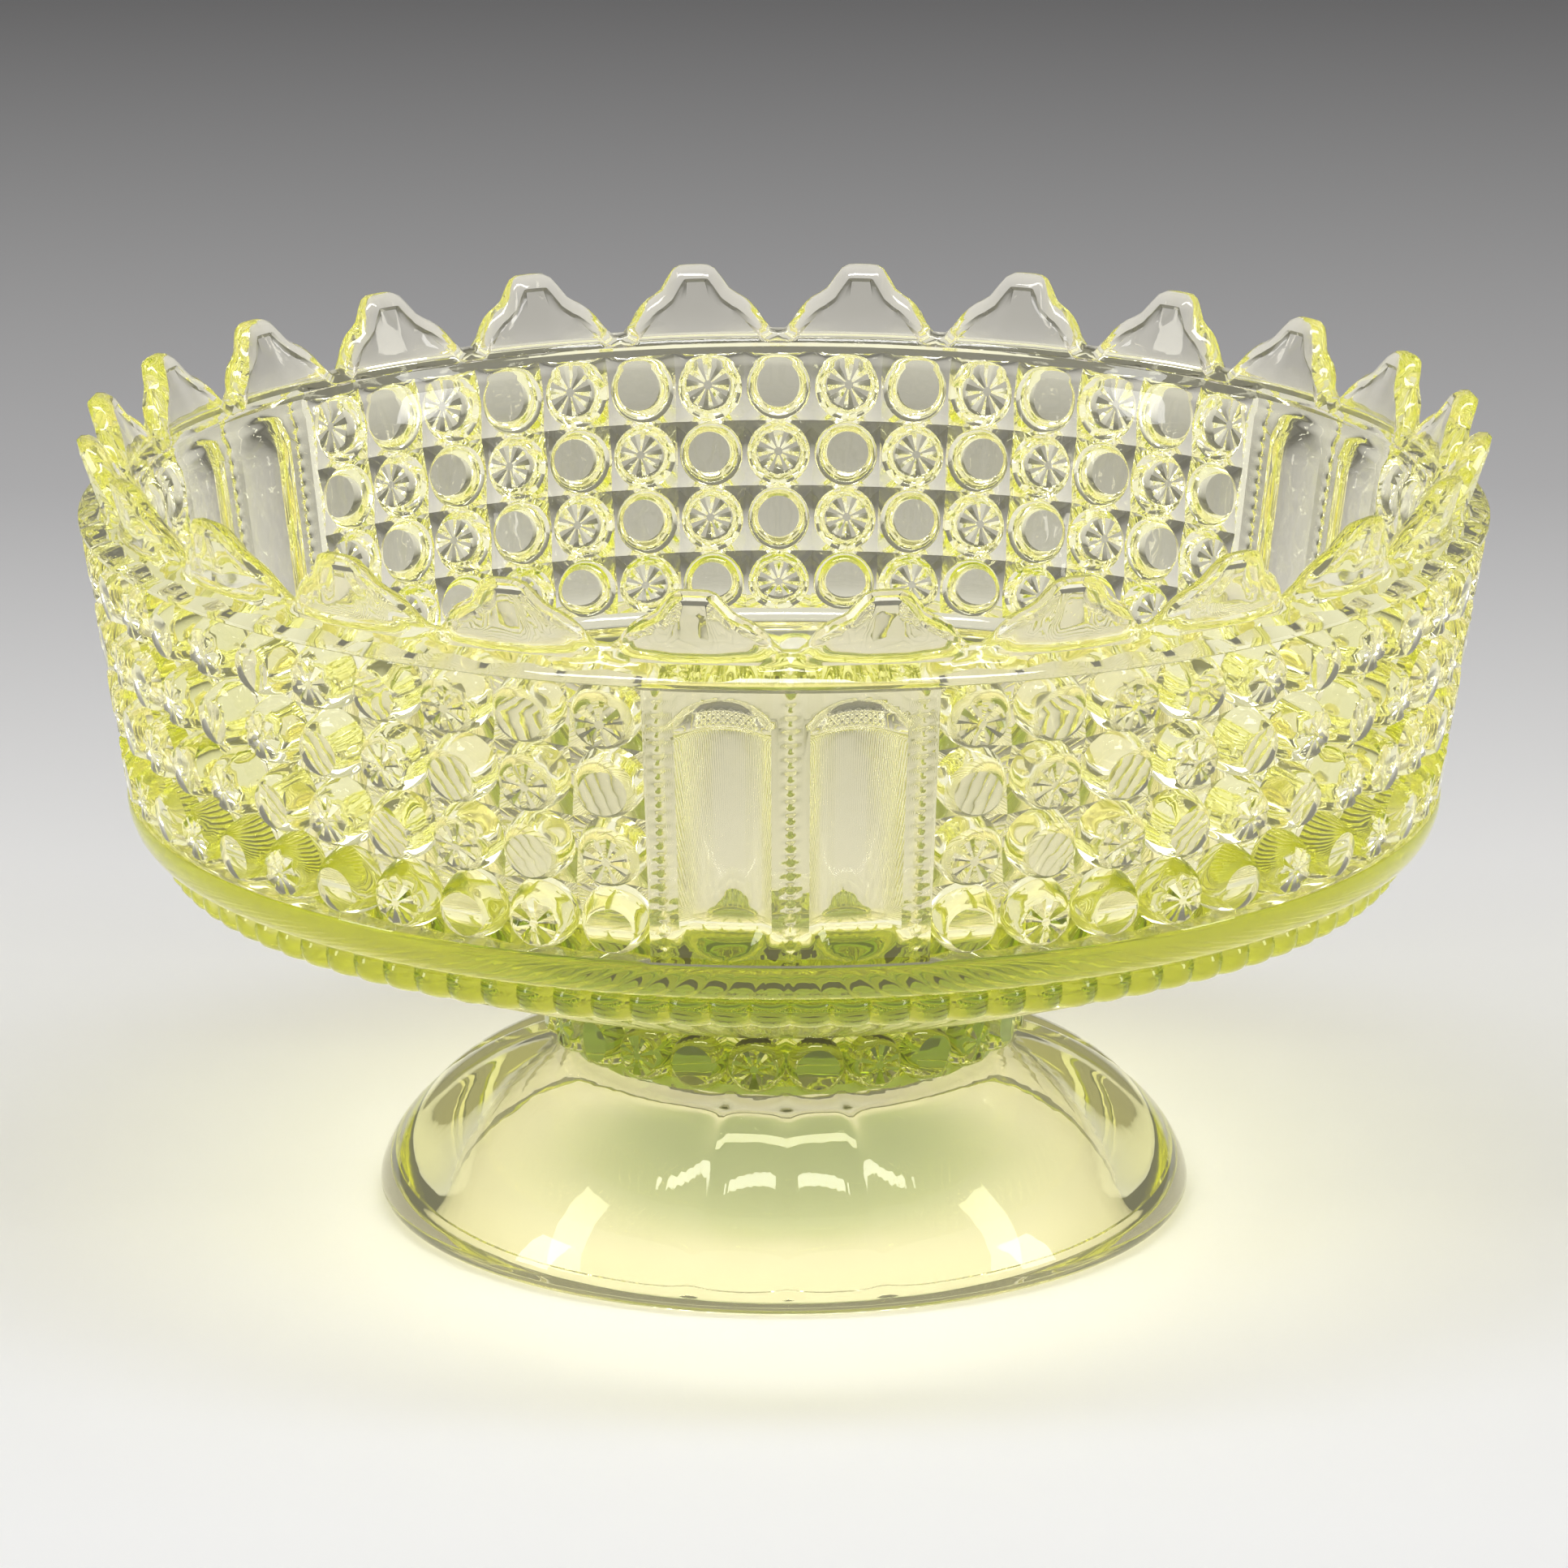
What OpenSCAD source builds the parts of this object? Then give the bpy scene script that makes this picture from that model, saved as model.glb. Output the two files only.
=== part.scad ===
// Footed pressed-glass bowl with daisy-and-button panels, in three pieces:
// the bowl, the button collar under it and the hollow foot.
// Millimetres, +Z up, origin on the table under the centre of the foot.

/* [Foot] */
// Diameter of the foot where it stands on the table
foot_d = 125; // [100:1:160]
// Height of the foot, up to the underside of the collar
foot_h = 25.8; // [20:0.1:36]
// Thickness of the foot's domed wall
foot_wall = 5; // [4:0.1:7]
// Width of the flat ring that the foot stands on
foot_land = 9; // [7:0.1:12]
// Angle of each small lobe beside a mould seam
foot_lobe_angle = 13.5; // [9:0.5:18]
// Depth of the creases between the lobes
crease_depth = 0.7; // [0.3:0.1:1.2]
// Width of the creases between the lobes
crease_w = 1.2; // [0.8:0.1:2.5]

/* [Collar] */
// Diameter over the collar's button tops
collar_d = 75.4; // [64:0.2:90]
// Height of the collar
collar_h = 9.4; // [8:0.1:14]
// How far the collar's buttons stand out
collar_button_proud = 3; // [2:0.1:4]
// Number of buttons round the collar
collar_buttons = 24; // [18:3:30]

/* [Base of the bowl] */
// Rise of the bowl's underside from the collar to the beaded ring
base_rise = 20.2; // [14:0.1:28]
// Height of the beaded ring
ring_h = 5.2; // [4:0.1:7]
// Number of beads in the ring
ring_beads = 102; // [90:3:120]
// Height of the smooth roll above the beaded ring
roll_h = 5.9; // [4:0.1:8]
// Thickness of the bowl's floor
floor_t = 7; // [5:0.1:9]

/* [Wall] */
// Diameter over the button tops at the top of the wall
wall_top_d = 213.4; // [180:0.2:256]
// Lean of the wall outwards from upright, in degrees
wall_lean = 8.7; // [4:0.1:12]
// Thickness of the glass between the buttons
wall_t = 3.2; // [2.4:0.1:4.4]

/* [Buttons] */
// Rows of buttons on the wall
button_rows = 4; // [3:1:5]
// Columns of buttons in each of the three panels
button_columns = 15; // [12:1:16]
// Height of one row
row_pitch = 10.55; // [8.8:0.05:12.7]
// Diameter of a button's flat top
button_top_d = 7; // [5:0.1:7.6]
// How far the buttons stand out from the wall
button_proud = 5; // [3.5:0.1:6]
// Gap between the bases of neighbouring buttons
button_gap = 0.45; // [0.4:0.05:0.8]

/* [Thumbprints] */
// Angle of the plain panel over each mould seam
print_panel_angle = 23.1; // [21:0.1:27]
// Width of one thumbprint
print_w = 13; // [10:0.1:14]
// Depth of one thumbprint below its land
print_depth = 3.6; // [2.5:0.1:4.2]
// Width of the ribs beside the thumbprints
rib_w = 1.6; // [1:0.1:2]

/* [Rim] */
// Height of the sloping shoulder under the rim
shoulder_h = 4.3; // [3:0.1:6]
// Height of a scallop above the shoulder
scallop_h = 10; // [7:0.1:13]
// Number of scallops round the rim
scallops = 24; // [21:3:27]
// Thickness of the glass at the rim
rim_t = 3.9; // [3:0.1:5]
// How far the scallops flare outwards
scallop_flare = 4.9; // [2:0.1:7]

/* [Hidden] */
$fn = 96;
eps = 0.02;
sink = 1;                                   // how far an added feature is rooted in the glass
button_lip = 0.4;                           // upright edge at a button's foot
seams = 3;
seam_angle = 360 / seams;

// heights
z_collar = foot_h;
z_bowl = z_collar + collar_h;
z_ring = z_bowl + base_rise;
z_roll = z_ring + ring_h;
z_field = z_roll + roll_h;
field_h = button_rows * row_pitch;
z_shoulder = z_field + field_h;
z_valley = z_shoulder + shoulder_h;
z_tip = z_valley + scallop_h;

// radii
lean_slope = tan(wall_lean);
proud_r = button_proud / cos(wall_lean);
root_top_r = wall_top_d / 2 - proud_r;
root_field_r = root_top_r - field_h * lean_slope;
roll_r = root_field_r + proud_r;
bead_r = 2.9;
ring_r = roll_r - 4.6;
bead_circle_r = ring_r - bead_r;
neck_r = collar_d / 2 - collar_button_proud;
wall_skin = wall_t / cos(wall_lean);
inner_top_r = root_top_r - wall_skin;
inner_bottom_r = root_field_r - wall_skin;
corner_r = 7;                               // inner corner between the wall and the floor
floor_flat_r = neck_r * 0.7;
valley_inner_r = inner_top_r + 0.6;
flare_slope = scallop_flare / scallop_h;
rim_root = 0.5;                             // how far the scallops are rooted in the shoulder
rim_step = flare_slope * rim_root * 1.2;    // ledge of the shoulder beside the scallops

// buttons
column_angle = (seam_angle - print_panel_angle) / button_columns;
column_pitch = root_field_r * column_angle * PI / 180;
button_base_d = min(row_pitch, column_pitch) - button_gap;

// thumbprints: a circular groove of the given width and depth
print_r = (pow(print_w / 2, 2) + pow(print_depth, 2)) / (2 * print_depth);
print_land = print_depth + 0.4;             // height of the land above the wall's root
print_end = 1.2;                            // land left above and below a thumbprint
print_angle = print_panel_angle * 0.23;
rib_angle = print_panel_angle / 2 - 1.3;
rib_proud = 0.8;

// foot: the dome is a superellipse from the crown down to the standing ring
foot_r = foot_d / 2;
foot_edge_h = 2.6;
crown_r = neck_r * 0.86;
dome_power = 1.6;
dome_steps = 12;
foot_bore_r = foot_r - foot_land;

function dome_z(t) = foot_edge_h + (foot_h - foot_edge_h) * pow(1 - pow(t, dome_power), 1 / dome_power);
function dome_t(i) = sin(90 * i / dome_steps);
function dome_points(inset) = [
    for (i = [0 : dome_steps])
        [crown_r + (foot_r - crown_r - inset) * dome_t(i), dome_z(dome_t(i)) - inset]
];
function arc(cx, cz, r, a0, a1, n) = [
    for (i = [0 : n]) let (a = a0 + (a1 - a0) * i / n) [cx + r * cos(a), cz + r * sin(a)]
];

// ---------------------------------------------------------------- bowl

// places its children on the wall's root surface, with +Z square to the wall
module on_wall(angle, height) {
    r = root_field_r + (height - z_field) * lean_slope;
    rotate([0, 0, angle])
        translate([r, 0, height])
            rotate([0, 90 + wall_lean, 0])
                children();
}

// turned so that the revolve's own seam lies under a thumbprint panel
module bowl_body() {
    rotate([0, 0, -90]) rotate_extrude()
        polygon(concat(
            [[0, z_bowl], [neck_r, z_bowl], [bead_circle_r, z_ring], [bead_circle_r, z_roll]],
            arc(roll_r - roll_h / 2, z_roll + roll_h / 2, roll_h / 2, -90, 0, 8),
            [[roll_r, z_field], [root_field_r, z_field]],
            [[root_top_r, z_shoulder], [wall_top_d / 2, z_shoulder]],
            [[valley_inner_r + rim_t + rim_step, z_valley], [valley_inner_r - rim_step, z_valley]],
            [[inner_top_r, z_shoulder]],
            arc(inner_bottom_r - corner_r, z_field + corner_r, corner_r, 0, -68, 8),
            [[floor_flat_r, z_bowl + floor_t], [0, z_bowl + floor_t]]
        ));
}

module bead_ring() {
    translate([0, 0, z_ring])
        linear_extrude(height = ring_h)
            difference() {
                union() {
                    circle(r = bead_circle_r + eps);
                    for (i = [0 : ring_beads - 1])
                        rotate([0, 0, (i + 0.5) * 360 / ring_beads])
                            translate([bead_circle_r, 0])
                                circle(r = bead_r, $fn = 24);
                }
                circle(r = bead_circle_r - bead_r / 2);   // keeps the inside of the bowl open
            }
}

// one scallop's outline: a round lobe on a triangular tooth with rounded shoulders
module scallop_outline() {
    half_w = valley_inner_r * sin(180 / scallops) * 0.98;
    lobe_r = scallop_h * 0.38;
    shoulder_r = scallop_h * 0.2;
    translate([0, scallop_h * 1.1 - lobe_r]) circle(r = lobe_r);
    for (side = [-1, 1])
        translate([side * half_w * 0.47, scallop_h * 0.46]) circle(r = shoulder_r, $fn = 48);
    polygon([
        [-half_w, -rim_root], [half_w, -rim_root], [half_w * 0.5, scallop_h * 0.64],
        [lobe_r * 0.7, scallop_h * 0.82], [-lobe_r * 0.7, scallop_h * 0.82],
        [-half_w * 0.5, scallop_h * 0.64]
    ]);
}

module rim() {
    intersection() {
        rotate([0, 0, -90]) rotate_extrude()
            polygon([
                [valley_inner_r + rim_t - rim_root * flare_slope, z_valley - rim_root],
                [valley_inner_r + rim_t + scallop_flare, z_tip],
                [valley_inner_r + scallop_flare, z_tip],
                [valley_inner_r - rim_root * flare_slope, z_valley - rim_root]
            ]);
        for (i = [0 : scallops - 1])
            rotate([0, 0, (i + 0.5) * 360 / scallops - 90])
                translate([0, wall_top_d / 2 + scallop_flare, z_valley])
                    rotate([90, 0, 0])
                        linear_extrude(height = scallop_flare * 2 + rim_t * 3)
                            scallop_outline();
    }
}

module button() {
    translate([0, 0, -sink]) cylinder(h = sink + button_lip, d = button_base_d, $fn = 32);
    translate([0, 0, button_lip])
        cylinder(h = button_proud - button_lip, d1 = button_base_d, d2 = button_top_d, $fn = 32);
}

module button_panel() {
    for (column = [0 : button_columns - 1], row = [0 : button_rows - 1])
        on_wall(print_panel_angle / 2 + (column + 0.5) * column_angle, z_field + (row + 0.5) * row_pitch)
            button();
}

// a raised land over the seam with two thumbprints pressed into it
module thumbprint_panel() {
    land_r = print_land / cos(wall_lean);
    difference() {
        rotate([0, 0, -print_panel_angle / 2])
            rotate_extrude(angle = print_panel_angle)
                polygon([
                    [root_field_r - sink, z_field - sink], [root_field_r + land_r, z_field - sink],
                    [root_top_r + land_r, z_shoulder + eps], [root_top_r - sink, z_shoulder + eps]
                ]);
        for (side = [-1, 1])
            on_wall(side * print_angle, z_field + field_h / 2)
                translate([0, 0, print_land - print_depth + print_r])
                    thumbprint();
    }
    for (angle = [-rib_angle, 0, rib_angle])
        on_wall(angle, z_field + field_h / 2)
            translate([-field_h / 2 + print_end, -rib_w / 2, 0])
                cube([field_h - 2 * print_end, rib_w, print_land + rib_proud]);
}

module thumbprint() {
    half = field_h / 2 - print_end - print_w / 2;
    translate([-half, 0, 0]) rotate([0, 90, 0]) cylinder(h = 2 * half, r = print_r, $fn = 64);
    for (end = [-half, half])
        translate([end, 0, 0]) sphere(r = print_r, $fn = 64);
}

module bowl() {
    color("yellowgreen") {
        bowl_body();
        bead_ring();
        rim();
        for (i = [0 : seams - 1])
            rotate([0, 0, i * seam_angle - 90]) {
                button_panel();
                thumbprint_panel();
            }
    }
}

// -------------------------------------------------------------- collar

module collar() {
    pitch = 2 * neck_r * sin(180 / collar_buttons);
    base_d = min(pitch, collar_h) - button_gap;
    color("gold") {
        translate([0, 0, z_collar]) cylinder(h = collar_h, r = neck_r);
        for (i = [0 : collar_buttons - 1])
            rotate([0, 0, (i + 0.5) * 360 / collar_buttons - 90])
                translate([neck_r - sink, 0, z_collar + collar_h / 2])
                    rotate([0, 90, 0])
                        cylinder(h = collar_button_proud + sink, d1 = base_d, d2 = base_d * 0.66, $fn = 32);
    }
}

// ---------------------------------------------------------------- foot

module foot_dome(inset) {
    rotate_extrude()
        polygon(concat(
            [[0, 0], [foot_r - inset, 0]],
            [for (i = [dome_steps : -1 : 0]) dome_points(inset)[i]],
            [[0, foot_h - inset]]
        ));
}

module creases() {
    difference() {
        for (i = [0 : seams - 1], side = [-1, 0, 1])
            rotate([0, 0, i * seam_angle - 90 + side * foot_lobe_angle])
                translate([neck_r + crease_w, -crease_w / 2, foot_edge_h * 2])
                    cube([foot_r, crease_w, foot_h]);
        foot_dome(crease_depth);
    }
}

module foot() {
    color("olivedrab")
        difference() {
            foot_dome(0);
            creases();
            translate([0, 0, -eps])
                rotate_extrude()
                    polygon(concat(
                        [[0, 0]],
                        [for (i = [dome_steps : -1 : 0])
                            [crown_r + (foot_bore_r - crown_r) * dome_t(i), max(dome_z(dome_t(i)) - foot_wall, 0)]],
                        [[0, foot_h - foot_wall]]
                    ));
        }
}

bowl();
collar();
foot();
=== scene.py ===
import math

import bmesh
import bpy
from mathutils import Matrix, Vector


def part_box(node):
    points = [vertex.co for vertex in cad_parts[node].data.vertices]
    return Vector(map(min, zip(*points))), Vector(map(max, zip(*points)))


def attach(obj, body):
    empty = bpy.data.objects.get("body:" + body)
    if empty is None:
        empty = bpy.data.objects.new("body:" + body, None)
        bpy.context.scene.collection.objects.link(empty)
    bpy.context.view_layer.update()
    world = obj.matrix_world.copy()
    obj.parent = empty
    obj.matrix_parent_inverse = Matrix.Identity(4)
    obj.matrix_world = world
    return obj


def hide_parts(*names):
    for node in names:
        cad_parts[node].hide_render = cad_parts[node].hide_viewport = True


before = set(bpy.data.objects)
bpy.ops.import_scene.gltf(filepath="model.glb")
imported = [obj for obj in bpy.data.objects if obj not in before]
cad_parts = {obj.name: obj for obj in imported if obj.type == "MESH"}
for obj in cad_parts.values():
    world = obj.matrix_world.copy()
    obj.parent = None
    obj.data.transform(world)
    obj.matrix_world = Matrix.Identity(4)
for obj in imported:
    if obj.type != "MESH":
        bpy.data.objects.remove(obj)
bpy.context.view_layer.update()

MM = 0.001
TURN = 2 * math.pi

# ------------------------------------------------------------------ sizes, from the frame

bowl_low, bowl_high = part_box("bowl")
collar_low, collar_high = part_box("collar")
foot_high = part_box("foot")[1]

JOINT_GAP = 0.01 * MM                 # the hot joints meet face to face
Z_TIP = bowl_high.z
Z_BOWL = bowl_low.z
Z_RING = Z_BOWL + 20.2 * MM           # foot of the beaded ring
Z_ROLL = Z_RING + 5.2 * MM            # foot of the smooth roll
Z_FIELD = Z_ROLL + 5.9 * MM           # foot of the button field
ROWS, COLUMNS, SEAMS = 4, 15, 3
ROW_H = 10.55 * MM
FIELD_H = ROWS * ROW_H
Z_SHOULDER = Z_FIELD + FIELD_H
Z_VALLEY = Z_SHOULDER + 4.3 * MM      # bottom of the valleys between scallops
SCALLOP_H = Z_TIP - Z_VALLEY

LEAN = math.radians(8.7)
LEAN_SLOPE = math.tan(LEAN)
PROUD = 5 * MM                        # how far the buttons stand out
TOP_R = 106.7 * MM                    # over the button tops, at the shoulder
ROOT_TOP_R = TOP_R - PROUD / math.cos(LEAN)
ROOT_R = ROOT_TOP_R - FIELD_H * LEAN_SLOPE
ROLL_R = ROOT_R + PROUD / math.cos(LEAN)
NOMINAL_R = (ROOT_R + ROOT_TOP_R) / 2

PRINT_ANGLE = math.radians(23.1)      # plain panel over each seam
COLUMN_ANGLE = (TURN / SEAMS - PRINT_ANGLE) / COLUMNS
COLUMN_W = NOMINAL_R * COLUMN_ANGLE
SCALLOPS = 24
RIM_T = 3.9 * MM
FLARE = 4.9 * MM
WALL_T = 3.4 * MM
NECK_R = 34.7 * MM
FLOOR_T = 7 * MM
FOOT_WALL = 5 * MM
FOOT_LAND = 9 * MM                    # width of the ring that the foot stands on

WELD = 0.02 * MM
SOFT_EDGE = 38                        # degrees, below which an edge is shaded round

BUTTON_SIDES = 24
SIDE_STEPS = BUTTON_SIDES // 4        # edges along each side of a button's square


# ------------------------------------------------------------------ hand tools

def deselect_all():
    bpy.ops.object.select_all(action="DESELECT")


def pick(obj):
    deselect_all()
    obj.select_set(True)
    bpy.context.view_layer.objects.active = obj


def edit(obj):
    pick(obj)
    bpy.ops.object.mode_set(mode="EDIT")


def leave_edit():
    bpy.ops.object.mode_set(mode="OBJECT")


def choose_edges(obj, test):
    """Selects, in edit mode, the edges that the test accepts."""
    mesh = bmesh.from_edit_mesh(obj.data)
    bpy.ops.mesh.select_mode(type="EDGE")
    for edge in mesh.edges:
        edge.select_set(False)
    for edge in mesh.edges:
        if test(edge):
            edge.select_set(True)
    bmesh.update_edit_mesh(obj.data)


def chosen_verts(obj):
    return [v for v in bmesh.from_edit_mesh(obj.data).verts if v.select]


def place_chosen(obj, place):
    for vert in chosen_verts(obj):
        vert.co = place(vert.co)
    bmesh.update_edit_mesh(obj.data)


def shape_verts(obj, place):
    """Moves every vertex of a mesh, in object mode."""
    for vert in obj.data.vertices:
        vert.co = place(vert.co)


def copy_of(obj):
    twin = obj.copy()
    twin.data = obj.data.copy()
    bpy.context.collection.objects.link(twin)
    return twin


def join(objs, name):
    deselect_all()
    for obj in objs:
        obj.select_set(True)
    bpy.context.view_layer.objects.active = objs[0]
    bpy.ops.object.join()
    objs[0].name = name
    return objs[0]


def weld(obj):
    edit(obj)
    bpy.ops.mesh.select_all(action="SELECT")
    bpy.ops.mesh.remove_doubles(threshold=WELD)
    leave_edit()


def azimuth(co):
    """Angle about the axis from the front seam, which is at -Y, in radians."""
    return math.atan2(co.x, -co.y)


def at_azimuth(angle, radius, z):
    return Vector((radius * math.sin(angle), -radius * math.cos(angle), z))


def away(a, b):
    """Smallest difference between two angles."""
    return abs((a - b + math.pi) % TURN - math.pi)


# ------------------------------------------------------------------ buttons

def square_point(index, width, height, ridge):
    """Point on the edge of a button's square, where ridges rise to a peak at the corners."""
    side, step = divmod((index + SIDE_STEPS // 2) % BUTTON_SIDES, SIDE_STEPS)
    t = 2 * step / SIDE_STEPS - 1
    x, y = [(1, t), (-t, 1), (-1, -t), (t, -1)][side]
    return Vector((x * width / 2, y * height / 2, ridge * abs(t)))


def button(name, width, height, proud, top_r, ridge, petal_depth):
    """One button on its square, facing up: a tapering round boss, daisy-cut if petals have depth."""
    base_r = min(width, height) / 2 * 0.985
    flank = base_r - top_r
    steps = [
        (base_r, 0, 0),
        (top_r + flank * 0.88, proud * 0.34, 0),
        (top_r + flank * 0.62, proud * 0.64, 0),
        (top_r + flank * 0.32, proud * 0.86, 0.2),
        (top_r + flank * 0.08, proud * 0.97, 0.8),
        (top_r, proud, 1),
    ]
    if petal_depth:
        steps += [(top_r * 0.55, proud, 0.9), (top_r * 0.2, proud, 0.2)]
    deselect_all()
    bpy.ops.mesh.primitive_circle_add(vertices=BUTTON_SIDES, radius=base_r)
    boss = bpy.context.object
    boss.name = name
    bpy.ops.object.mode_set(mode="EDIT")
    bpy.ops.mesh.select_mode(type="EDGE")
    bpy.ops.mesh.select_all(action="SELECT")

    def index_of(co):
        return round(math.atan2(co.y, co.x) / TURN * BUTTON_SIDES) % BUTTON_SIDES

    bpy.ops.mesh.extrude_edges_move()
    place_chosen(boss, lambda co: square_point(index_of(co), width, height, ridge))
    choose_edges(boss, lambda e: all(abs(v.co.xy.length - base_r) < 1e-6 and v.co.z < 1e-6 for v in e.verts))
    for radius, rise, cut in steps[1:]:
        bpy.ops.mesh.extrude_edges_move()

        def place(co):
            angle = index_of(co) * TURN / BUTTON_SIDES
            petal = petal_depth * cut * (index_of(co) % 3 == 0)
            return Vector((radius * math.cos(angle), radius * math.sin(angle), rise - petal))

        place_chosen(boss, place)
    bpy.ops.mesh.edge_face_add()
    leave_edit()
    return boss


def button_grid(name, columns, rows, width, height, plain, daisy, daisy_first):
    """A flat field of buttons, plain and daisy by turns, from x = 0 and y = 0 up."""
    tiles = []
    for column in range(columns):
        for row in range(rows):
            from_top = rows - 1 - row
            source = daisy if (column + from_top + (not daisy_first)) % 2 == 0 else plain
            tile = copy_of(source)
            offset = Vector(((column + 0.5) * width, (row + 0.5) * height, 0))
            tile.data.transform(Matrix.Translation(offset))
            tiles.append(tile)
    field = join(tiles, name)
    weld(field)
    return field


def remove(*objs):
    for obj in objs:
        bpy.data.objects.remove(obj)


# ------------------------------------------------------------------ thumbprint panel

PRINT_W = 13 * MM
PRINT_DEPTH = 3.6 * MM
PRINT_X = 9.1 * MM                    # from the seam to the middle of a thumbprint
LAND = 4 * MM                         # height of the panel above the wall's root
BEAD_X = 17.7 * MM                    # from the seam to the outer rows of fine beads
BEAD_HALF_W = 0.8 * MM
BEAD_H = 0.5 * MM
BEADS = 20
PANEL_HALF_W = NOMINAL_R * PRINT_ANGLE / 2


def panel_columns():
    """Places of the panel's upright grid lines: close together over beads, wider elsewhere."""
    half = [(0, BEAD_HALF_W, 2), (BEAD_HALF_W, PRINT_X - PRINT_W / 2, 2),
            (PRINT_X - PRINT_W / 2, PRINT_X + PRINT_W / 2, 14),
            (PRINT_X + PRINT_W / 2, BEAD_X - BEAD_HALF_W, 1),
            (BEAD_X - BEAD_HALF_W, BEAD_X + BEAD_HALF_W, 4), (BEAD_X + BEAD_HALF_W, PANEL_HALF_W, 1)]
    right = [a + (b - a) * i / n for a, b, n in half for i in range(n)] + [PANEL_HALF_W]
    return [-x for x in reversed(right[1:])] + right


def panel_height(x, y):
    """Height of the thumbprint panel's face above the wall's root."""
    rise = LAND
    print_half_h = FIELD_H / 2 - 1.2 * MM - PRINT_W / 2
    q = math.hypot(abs(x) - PRINT_X, max(0, abs(y) - print_half_h))
    groove_r = ((PRINT_W / 2) ** 2 + PRINT_DEPTH ** 2) / (2 * PRINT_DEPTH)
    if q < PRINT_W / 2:
        rise -= math.sqrt(groove_r ** 2 - q ** 2) - (groove_r - PRINT_DEPTH)
    for row in (-BEAD_X, 0, BEAD_X):
        across = (x - row) / BEAD_HALF_W
        if abs(across) < 1:
            along = abs(math.sin(math.pi * (y / FIELD_H + 0.5) * BEADS)) ** 0.7
            rise += BEAD_H * math.sqrt(1 - across ** 2) * along
    return rise


def thumbprint_panel():
    columns = panel_columns()
    count = len(columns) - 1
    deselect_all()
    bpy.ops.mesh.primitive_grid_add(x_subdivisions=count, y_subdivisions=BEADS * 4, size=1)
    panel = bpy.context.object
    panel.name = "thumbprints"

    def place(co):
        x = columns[round((co.x + 0.5) * count)]
        y = co.y * FIELD_H
        return Vector((x, y + FIELD_H / 2, panel_height(x, y)))

    shape_verts(panel, place)
    return panel


# ------------------------------------------------------------------ bowl

def onto_wall(start_angle):
    """Wraps a flat field, x along, y up and z proud, round the leaning wall."""
    def place(co):
        radius = ROOT_R + co.y * LEAN_SLOPE + co.z * math.cos(LEAN)
        return at_azimuth(start_angle + co.x / NOMINAL_R, radius, Z_FIELD + co.y - co.z * math.sin(LEAN))
    return place


def revolve(name, profile, steps):
    """A line of (radius, height) points spun about the axis."""
    deselect_all()
    bpy.ops.mesh.primitive_circle_add(vertices=steps, radius=profile[0][0])
    shell = bpy.context.object
    shell.name = name
    bpy.ops.object.mode_set(mode="EDIT")
    bpy.ops.mesh.select_mode(type="EDGE")
    bpy.ops.mesh.select_all(action="SELECT")
    place_chosen(shell, lambda co: Vector((co.x, co.y, profile[0][1])))
    for before, (radius, z) in zip(profile, profile[1:]):
        bpy.ops.mesh.extrude_edges_move()
        grow = radius / before[0]
        place_chosen(shell, lambda co: Vector((co.x * grow, co.y * grow, z)))
    return shell


def close_centre():
    """Fills the chosen loop round the axis with a fan."""
    bpy.ops.mesh.edge_face_add()
    bpy.ops.mesh.poke()


def arc(cx, cz, r, start, stop, steps):
    angles = [math.radians(start + (stop - start) * i / steps) for i in range(steps + 1)]
    return [(cx + r * math.cos(a), cz + r * math.sin(a)) for a in angles]


def scallop_rise(u):
    """Height of a scallop's outline, u along the rim from its middle: round lobe on shoulders."""
    half = math.pi * RIM_MID_R / SCALLOPS
    t = min(1, abs(u) / (half * 0.89))
    lobe = math.exp(-(abs(u) / (4.7 * MM)) ** 5)
    rise = 0.63 * (1 - t ** 3.8) + 0.37 * lobe
    return (rise ** 3 + 0.03 ** 3) ** (1 / 3)


RIM_INNER_R = TOP_R - PROUD / math.cos(LEAN) - WALL_T + 0.6 * MM
RIM_MID_R = RIM_INNER_R + RIM_T / 2
RIM_STEPS = SCALLOPS * 24


def scallop_rise_at(angle):
    """The same by angle from the front seam, which lies in a valley."""
    pitch = TURN / SCALLOPS
    return scallop_rise((angle / pitch % 1 - 0.5) * pitch * RIM_MID_R)


def scallop_point(angle, inset, across):
    """A point of the scalloped rim: inset from its outline, and across its thickness (0 to 1)."""
    slope_h = math.hypot(SCALLOP_H, FLARE)
    step = TURN / SCALLOPS / 40
    change = slope_h * (scallop_rise_at(angle + step) - scallop_rise_at(angle - step))
    tangent = Vector((2 * step * RIM_MID_R, change)).normalized()
    up = slope_h * scallop_rise_at(angle) - inset * tangent.x
    lean = FLARE / SCALLOP_H
    z = Z_VALLEY + up / math.hypot(1, lean)
    radius = RIM_INNER_R + (z - Z_VALLEY) * lean + RIM_T * across
    return at_azimuth(angle + inset * tangent.y / RIM_MID_R, radius, z)


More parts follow.
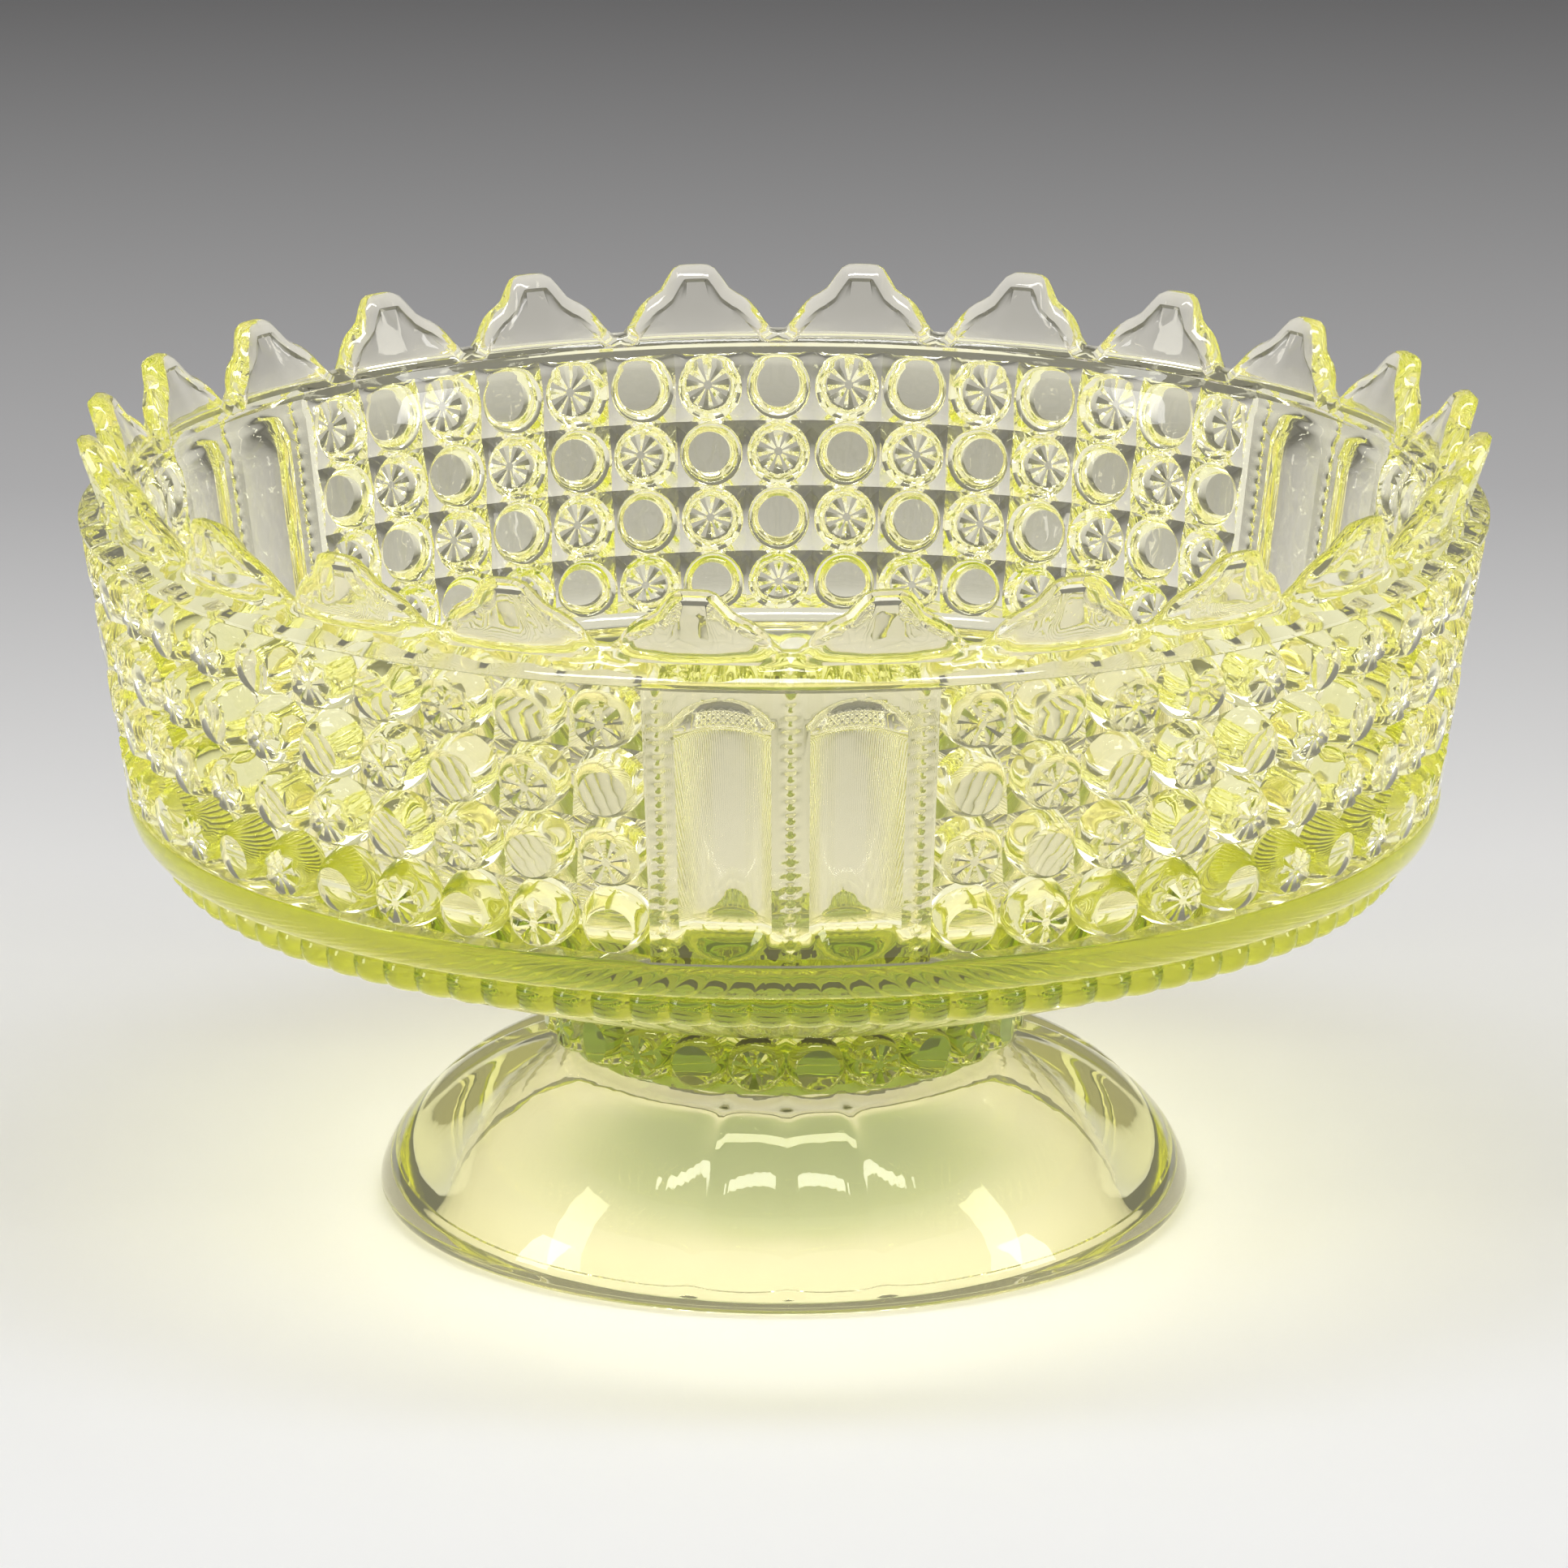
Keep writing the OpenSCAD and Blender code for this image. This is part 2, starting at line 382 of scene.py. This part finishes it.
def rim():
    """Shoulder, scallops and the smooth inside of the bowl, down to the middle of its floor."""
    outer_r = RIM_INNER_R + RIM_T
    root = Z_VALLEY - 1.4 * MM
    shoulder = [(TOP_R - 0.1 * MM, Z_SHOULDER), (TOP_R + 0.25 * MM, Z_SHOULDER + 0.25 * MM),
                (TOP_R + 0.2 * MM, Z_SHOULDER + 0.7 * MM), (TOP_R - 0.5 * MM, Z_SHOULDER + 1.4 * MM),
                (outer_r + 1.7 * MM, root - 0.7 * MM), (outer_r + 0.9 * MM, root)]
    faces = 4
    rounds = 6
    scallop_rows = faces + rounds + faces
    in_r = RIM_INNER_R
    wall_top = Z_SHOULDER - 0.2 * MM
    wall_in_top = ROOT_TOP_R - WALL_T
    wall_in_low = ROOT_R - WALL_T
    corner = 7 * MM
    band = [(in_r - 0.1 * MM, root), (in_r - 0.6 * MM, root - 0.2 * MM), (in_r - 0.8 * MM, root - 0.6 * MM),
            (in_r - 1 * MM, Z_SHOULDER + 0.9 * MM), (in_r - 1.4 * MM, Z_SHOULDER + 0.4 * MM),
            (wall_in_top - 1.2 * MM, wall_top), (wall_in_top - 1.6 * MM, wall_top - 0.6 * MM)]
    wall = [(band[-1][0] + (wall_in_low - band[-1][0]) * i / 6,
             band[-1][1] + (Z_FIELD + corner - band[-1][1]) * i / 6) for i in range(1, 7)]
    floor = arc(wall_in_low - corner, Z_FIELD + corner, corner, -10, -68, 6)
    flat_r = NECK_R * 0.7
    dish_z = Z_BOWL + FLOOR_T
    lip = floor[-1]
    dish = []
    for i in range(1, 9):
        t = i / 8
        dish.append((lip[0] + (flat_r - lip[0]) * t, dish_z + (lip[1] - dish_z) * (1 - t) ** 1.25))
    placeholders = [(outer_r, Z_VALLEY)] * scallop_rows
    profile = shoulder + placeholders + band + wall + floor + dish
    shell = revolve("bowl", profile, RIM_STEPS)
    close_centre()
    leave_edit()
    first = len(shoulder)
    # extruded row by row, so vertex order gives the row
    for vert in shell.data.vertices:
        row = vert.index // RIM_STEPS
        if not first <= row < first + scallop_rows:
            continue
        k = row - first
        angle = azimuth(vert.co)
        # the round edge takes in a whole half turn on a scallop, and less down in a valley
        start = math.pi / 4 * (1 - min(1, scallop_rise_at(angle) / 0.35))

        def round_edge(share):
            turn = start + (math.pi - 2 * start) * share
            return scallop_point(angle, RIM_T / 2 * (1 - math.sin(turn)), 0.5 + 0.5 * math.cos(turn))

        if k < faces:
            low = at_azimuth(angle, outer_r + 0.8 * MM, root + 0.1 * MM)
            vert.co = low.lerp(round_edge(0), (k + 1) / (faces + 1))
        elif k < faces + rounds:
            vert.co = round_edge((k - faces) / (rounds - 1))
        else:
            # a shallow panel is sunk in the inner face of each scallop
            sunk = 0.14 * min(1, scallop_rise_at(angle) / 0.3)
            low = at_azimuth(angle, in_r - 0.05 * MM, root + 0.1 * MM)
            top = scallop_point(angle, RIM_T / 2 + 0.7 * MM, sunk)
            foot_of_panel = at_azimuth(angle, in_r + RIM_T * sunk + 0.4 * MM, Z_VALLEY + 0.3 * MM)
            share = (k - faces - rounds) / (faces - 1)
            if top.z > foot_of_panel.z:
                vert.co = top.lerp(foot_of_panel, share)
            else:
                vert.co = top.lerp(low, (share + 1) / 2.2)
    return shell


LOBES = 102
LOBE_STEPS = LOBES * 6


def underside():
    """The smooth roll under the buttons, the beaded ring and the ribbed underside down to the neck."""
    roll = [(ROLL_R, Z_FIELD), (ROLL_R + 0.15 * MM, Z_FIELD - 0.5 * MM), (ROLL_R, Z_FIELD - 2 * MM),
            (ROLL_R - 0.6 * MM, Z_FIELD - 3.8 * MM), (ROLL_R - 1.5 * MM, Z_ROLL + 0.7 * MM),
            (ROLL_R - 2.2 * MM, Z_ROLL + 0.2 * MM), (ROLL_R - 3.2 * MM, Z_ROLL + 0.15 * MM)]
    ring = arc(ROLL_R - 8.6 * MM, Z_RING + 2.5 * MM, 2.9 * MM, 75, -75, 6)
    ring = [(r + 0.9 * MM, z) for r, z in ring]
    start = (ring[-1][0] - 1.4 * MM, ring[-1][1] - 0.3 * MM)
    slope = [start]
    for i in range(1, 9):
        t = i / 8
        slope.append((start[0] + (NECK_R - start[0]) * t,
                      Z_BOWL + JOINT_GAP + (start[1] - Z_BOWL) * (1 - t) ** 1.12))
    profile = roll + ring + slope
    shell = revolve("underside", profile, LOBE_STEPS)
    bpy.ops.mesh.edge_face_add()
    leave_edit()
    rib_depth = [0] * (len(roll) - 1) + [0.4] + [1.3] * len(ring) + [1.1, 0.9, 0.65, 0.45, 0.3, 0.2, 0.1]
    for vert in shell.data.vertices:
        row = vert.index // LOBE_STEPS
        if row >= len(rib_depth):
            continue
        angle = azimuth(vert.co)
        valley = 1 - abs(math.sin(angle * LOBES / 2)) ** 0.7
        on_ring = row < len(roll) + len(ring)
        radius = vert.co.xy.length
        if on_ring:
            vert.co = at_azimuth(angle, radius - rib_depth[row] * MM * valley, vert.co.z)
        else:
            vert.co.z += rib_depth[row] * MM * valley
    return shell


def is_border_near(test):
    def check(edge):
        return edge.is_boundary and all(test(v.co) for v in edge.verts)
    return check


def bowl():
    tile = (COLUMN_W, ROW_H, PROUD, 3.35 * MM, 1.5 * MM)
    plain = button("plain_button", *tile, 0)
    daisy = button("daisy_button", *tile, 0.65 * MM)
    field = button_grid("field", COLUMNS, ROWS, COLUMN_W, ROW_H, plain, daisy, True)
    prints = thumbprint_panel()
    remove(plain, daisy)
    bands = []
    for seam in range(SEAMS):
        turn = seam * TURN / SEAMS
        for flat, start in ((field, turn + PRINT_ANGLE / 2), (prints, turn)):
            part = copy_of(flat)
            shape_verts(part, onto_wall(start))
            bands.append(part)
    remove(field, prints)
    wall = join(bands, "wall")

    # the buttons' edge is bridged to the panel's beside every thumbprint panel
    edit(wall)
    for seam in range(SEAMS):
        for side in (-1, 1):
            angle = seam * TURN / SEAMS + side * PRINT_ANGLE / 2
            choose_edges(wall, is_border_near(lambda co: away(azimuth(co), angle) < 0.002))
            bpy.ops.mesh.bridge_edge_loops()
    leave_edit()

    body = join([rim(), wall, underside()], "bowl_glass")
    edit(body)
    for z in (Z_SHOULDER, Z_FIELD):
        choose_edges(body, is_border_near(lambda co: abs(co.z - z) < 1.2 * MM))
        bpy.ops.mesh.bridge_edge_loops()
    bpy.ops.mesh.select_all(action="SELECT")
    bpy.ops.mesh.remove_doubles(threshold=0.001 * MM)
    bpy.ops.mesh.normals_make_consistent(inside=False)
    leave_edit()
    smooth(body)
    return body


def smooth(obj):
    pick(obj)
    bpy.ops.object.shade_smooth_by_angle(angle=math.radians(SOFT_EDGE))


# ------------------------------------------------------------------ collar

COLLAR_BUTTONS = 24


def collar():
    height = collar_high.z - collar_low.z
    tile_w = TURN * NECK_R / COLLAR_BUTTONS
    shape = (tile_w, height, 3 * MM, 3.1 * MM, 0.7 * MM)
    plain = button("plain_collar_button", *shape, 0)
    daisy = button("daisy_collar_button", *shape, 0.55 * MM)
    band = button_grid("collar_glass", COLLAR_BUTTONS, 1, tile_w, height, plain, daisy, False)
    remove(plain, daisy)
    base_z = collar_low.z

    def wrap(co):
        return at_azimuth(co.x / NECK_R, NECK_R - 0.7 * MM + co.z, base_z + co.y)

    shape_verts(band, wrap)
    weld(band)
    edit(band)
    for z, gap in ((base_z, JOINT_GAP), (collar_high.z, -JOINT_GAP)):
        choose_edges(band, is_border_near(lambda co: abs(co.z - z) < 0.1 * MM))
        bpy.ops.mesh.extrude_edges_move()
        place_chosen(band, lambda co: at_azimuth(azimuth(co), NECK_R - 1.2 * MM, z + gap))
        bpy.ops.mesh.edge_face_add()
    bpy.ops.mesh.select_all(action="SELECT")
    bpy.ops.mesh.normals_make_consistent(inside=False)
    leave_edit()
    smooth(band)
    return band


# ------------------------------------------------------------------ foot

FOOT_STEPS = 360
FOOT_LOBE = math.radians(13.5)


def foot_relief(angle):
    """How far the dome's lobes stand out: a pair of small lobes at each seam, broad ones between."""
    third = TURN / SEAMS
    from_seam = abs((angle + third / 2) % third - third / 2)
    from_crease = min(from_seam, abs(from_seam - FOOT_LOBE))
    return 1 - math.exp(-from_crease / math.radians(1.9))


def foot():
    foot_r = foot_high.x
    crown_r = NECK_R * 0.86
    edge_h = 2.6 * MM
    top = foot_high.z - JOINT_GAP
    land_r = foot_r - FOOT_LAND
    power = 1.6

    def dome(t):
        return edge_h + (top - edge_h) * (1 - t ** power) ** (1 / power)

    steps = 14
    outer = [(crown_r * 0.99, top)]
    for i in range(1, steps):
        t = math.sin(math.pi / 2 * i / steps)
        outer.append((crown_r + (foot_r - crown_r) * t, dome(t)))
    edge = arc(foot_r - edge_h, edge_h, edge_h, 8, -90, 7)
    edge = [(r, max(z, 0)) for r, z in edge]
    inner = [(land_r, 0), (land_r - 0.4 * MM, 0.3 * MM)]
    for i in range(steps - 1, 0, -1):
        t = math.sin(math.pi / 2 * i / steps)
        inner.append((crown_r + (land_r - 0.5 * MM - crown_r) * t, max(dome(t) - FOOT_WALL, 0.9 * MM)))
    inner.append((crown_r * 0.5, top - FOOT_WALL))
    shell = revolve("foot_glass", outer + edge + inner, FOOT_STEPS)
    close_centre()
    choose_edges(shell, is_border_near(lambda co: abs(co.z - top) < 0.01 * MM))
    bpy.ops.mesh.edge_face_add()
    bpy.ops.mesh.select_all(action="SELECT")
    bpy.ops.mesh.normals_make_consistent(inside=False)
    leave_edit()
    relief_rows = len(outer)
    for vert in shell.data.vertices:
        row = vert.index // FOOT_STEPS
        if 1 < row < relief_rows:
            fade = math.sin(math.pi * (row - 1) / (relief_rows - 1))
            angle = azimuth(vert.co)
            depth = 1.1 * MM * fade * (1 - foot_relief(angle))
            radius = vert.co.xy.length
            vert.co = at_azimuth(angle, radius - depth * 0.6, vert.co.z - depth * 0.8)
    smooth(shell)
    return shell


# ------------------------------------------------------------------ materials

class Value:
    """A shader socket that does arithmetic by adding Math nodes."""

    def __init__(self, nodes, socket):
        self.nodes = nodes
        self.socket = socket

    def _math(self, operation, first, second):
        return self.nodes.node("ShaderNodeMath", {"operation": operation}, {0: first, 1: second})

    def __add__(self, other):
        return self._math("ADD", self, other)

    def __radd__(self, other):
        return self._math("ADD", other, self)

    def __sub__(self, other):
        return self._math("SUBTRACT", self, other)

    def __rsub__(self, other):
        return self._math("SUBTRACT", other, self)

    def __mul__(self, other):
        return self._math("MULTIPLY", self, other)

    def __rmul__(self, other):
        return self._math("MULTIPLY", other, self)


class Finish:
    """The node tree of a material or of the world, built one node at a time."""

    def __init__(self, name):
        self.material = bpy.data.materials.new(name)
        self.material.use_nodes = True
        self._start(self.material.node_tree, "ShaderNodeOutputMaterial")

    @classmethod
    def of_world(cls, world):
        made = cls.__new__(cls)
        made._start(world.node_tree, "ShaderNodeOutputWorld")
        return made

    def _start(self, tree, output):
        self.tree = tree
        self.tree.nodes.clear()
        self.output = self.tree.nodes.new(output)

    def node(self, kind, settings=None, inputs=None, output=0):
        made = self.tree.nodes.new(kind)
        for key, value in (settings or {}).items():
            if key == "stops":
                ramp = made.color_ramp
                while len(ramp.elements) < len(value):
                    ramp.elements.new(0.5)
                for element, (place, colour) in zip(ramp.elements, value):
                    element.position = place
                    element.color = colour
            else:
                setattr(made, key, value)
        for key, value in (inputs or {}).items():
            if isinstance(value, Value):
                self.tree.links.new(value.socket, made.inputs[key])
            else:
                made.inputs[key].default_value = value
        return Value(self, made.outputs[output])

    def surface(self, shader):
        self.tree.links.new(shader.socket, self.output.inputs["Surface"])

    def volume(self, shader):
        self.tree.links.new(shader.socket, self.output.inputs["Volume"])


GLASS_IOR = 1.5
LAMP_TINT = (0.87, 0.85, 0.82, 1)     # lamplight that comes straight through one skin
DEPTH_TINT = (0.945, 0.965, 0.2, 1)
DEPTH_DENSITY = 20.0
FLUORESCENT_AND_PAINTED_GLOW = (0.95, 0.9, 0.5, 1)            # faint glow in daylight: partly the glass's own fluorescence, partly painted light that lifts its darker parts
FLUORESCENT_AND_PAINTED_GLOW_STRENGTH = 0.022


def uranium_glass(name):
    """Clear yellow-green pressed glass: colour from its depth, press ripples on its skin, and a faint glow
    that is partly its own fluorescence and partly painted light.

    Lamps shine through it, so that what it stands on is lit a warm yellow.
    """
    look = Finish(name)
    place = look.node("ShaderNodeTexCoord", output=3)
    cords = look.node("ShaderNodeTexNoise", {}, {"Vector": place, "Scale": 60.0, "Detail": 1.0})
    ripple = look.node("ShaderNodeTexNoise", {}, {"Vector": place, "Scale": 300.0, "Detail": 1.0})
    relief = cords * 0.75 + ripple * 0.25
    bump = look.node("ShaderNodeBump", {}, {"Strength": 0.06, "Distance": 0.001, "Height": relief})
    tint = look.node("ShaderNodeMix", {"data_type": "RGBA"},
                     {0: cords, 6: (0.985, 0.955, 0.925, 1), 7: (0.985, 0.96, 0.94, 1)}, output=2)
    skin = look.node("ShaderNodeMapRange", {}, {"Value": ripple, "To Min": 0.0, "To Max": 0.02})
    # the emission is a painted glow over all the glass, set to brighten the roll, ring and collar
    glass = look.node("ShaderNodeBsdfPrincipled", {}, {
        "Base Color": tint, "Roughness": skin, "IOR": GLASS_IOR, "Transmission Weight": 1.0, "Normal": bump,
        "Emission Color": FLUORESCENT_AND_PAINTED_GLOW, "Emission Strength": FLUORESCENT_AND_PAINTED_GLOW_STRENGTH})
    lamplight = look.node("ShaderNodeBsdfTransparent", {}, {"Color": LAMP_TINT})
    from_lamp = look.node("ShaderNodeLightPath", output=1)
    look.surface(look.node("ShaderNodeMixShader", {}, {0: from_lamp, 1: glass, 2: lamplight}))
    look.volume(depth_of_colour(look))
    return look.material


def depth_of_colour(look):
    return look.node("ShaderNodeVolumeAbsorption", {}, {"Color": DEPTH_TINT, "Density": DEPTH_DENSITY})


def fused_joint():
    """Where two pieces are fused hot: no skin between them, and the glass's colour runs on."""
    look = Finish("fused_joint")
    look.surface(look.node("ShaderNodeBsdfTransparent"))
    look.volume(depth_of_colour(look))
    return look.material


def paper_with_painted_shade():
    look = Finish("paper_with_painted_shade")
    place = look.node("ShaderNodeTexCoord", output=3)
    split = look.node("ShaderNodeSeparateXYZ", {}, {"Vector": place}, output=1)
    # Painted shade: the paper darkens further back as a painted falloff of light across the sweep, and dips
    # in a band level with the bowl as a painted shadow.
    ramp = look.node("ShaderNodeMapRange", {}, {"Value": split, "From Min": -0.15, "From Max": 1.0})
    shade = look.node("ShaderNodeValToRGB", {"stops": [
        (0.0, (0.92, 0.92, 0.92, 1)), (0.13, (0.80, 0.80, 0.80, 1)),
        (0.235, (0.88, 0.878, 0.875, 1)), (0.283, (0.85, 0.846, 0.842, 1)),
        (0.52, (0.51, 0.506, 0.51, 1)), (1.0, (0.18, 0.178, 0.18, 1))]}, {"Fac": ramp})
    grain = look.node("ShaderNodeTexNoise", {}, {"Vector": place, "Scale": 900.0})
    bump = look.node("ShaderNodeBump", {}, {"Strength": 0.02, "Distance": 0.001, "Height": grain})
    look.surface(look.node("ShaderNodeBsdfPrincipled", {}, {
        "Base Color": shade, "Roughness": 0.75, "Normal": bump}))
    return look.material


# ------------------------------------------------------------------ stage

def sweep():
    bpy.ops.mesh.primitive_plane_add(size=6, location=(0, 1.0, 0))
    floor = bpy.context.object
    floor.name = "sweep"
    floor.data.transform(Matrix.Translation((0, 1.0, 0)))
    floor.location = (0, 0, 0)
    floor.data.materials.append(paper_with_painted_shade())


def softbox(name, size, place, aim, power):
    lamp = bpy.data.lights.new(name, "AREA")
    lamp.shape = "RECTANGLE"
    lamp.size, lamp.size_y = size
    lamp.energy = power
    holder = bpy.data.objects.new(name, lamp)
    bpy.context.collection.objects.link(holder)
    holder.location = place
    holder.rotation_euler = (Vector(aim) - Vector(place)).to_track_quat("-Z", "Y").to_euler()


def studio():
    """A strip of light overhead, one at each side, and a tent that is pale in front and dark behind."""
    softbox("overhead", (0.9, 0.13), (0, -0.05, 1.2), (0, 0, 0), 5.2)
    for name, side in (("left", -1), ("right", 1)):
        softbox(name, (0.25, 0.6), (side * 1.15, -0.35, 0.4), (0, 0, 0.03), 3)
    world = bpy.data.worlds.new("tent")
    world.use_nodes = True
    tent = Finish.of_world(world)
    direction = tent.node("ShaderNodeTexCoord", output=0)
    depth = tent.node("ShaderNodeSeparateXYZ", {}, {"Vector": direction}, output=1)
    shade = tent.node("ShaderNodeMapRange", {"interpolation_type": "SMOOTHSTEP"}, {
        "Value": depth, "From Min": -0.5, "From Max": 0.4, "To Min": 0.9, "To Max": 0.14})
    tent.surface(tent.node("ShaderNodeBackground", {}, {"Color": (1, 0.995, 0.99, 1), "Strength": shade}))
    bpy.context.scene.world = world


def camera():
    """Looks down at the front seam from a little over a metre, through a long lens."""
    turn = math.radians(-0.52)
    distance, height = 1.2823, 0.4308
    pitch = math.radians(15.93)
    lens = bpy.data.cameras.new("camera")
    lens.lens = 199.8
    lens.sensor_width = 36
    lens.clip_start = 0.05
    view = bpy.data.objects.new("camera", lens)
    bpy.context.collection.objects.link(view)
    view.location = at_azimuth(turn, distance, height)
    view.rotation_euler = (math.pi / 2 - pitch, 0, turn)
    bpy.context.scene.camera = view


# ------------------------------------------------------------------ build

camera()
sweep()
studio()
joint_finish = fused_joint()
for piece, node, slot in ((bowl(), "bowl", "bowl_glass"), (collar(), "collar", "collar_glass"),
                          (foot(), "foot", "foot_glass")):
    piece.data.materials.clear()
    piece.data.materials.append(uranium_glass(slot))
    piece.data.materials.append(joint_finish)
    for face in piece.data.polygons:
        level = min(abs(face.center.z - joint) for joint in (Z_BOWL, collar_low.z))
        face.material_index = int(level < 2 * JOINT_GAP and abs(face.normal.z) > 0.99)
    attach(piece, "root")
    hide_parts(node)

scene = bpy.context.scene
scene.view_settings.view_transform = "Standard"
scene.cycles.caustics_refractive = True
scene.cycles.caustics_reflective = False
scene.cycles.max_bounces = 24
scene.cycles.transmission_bounces = 24
scene.cycles.glossy_bounces = 12
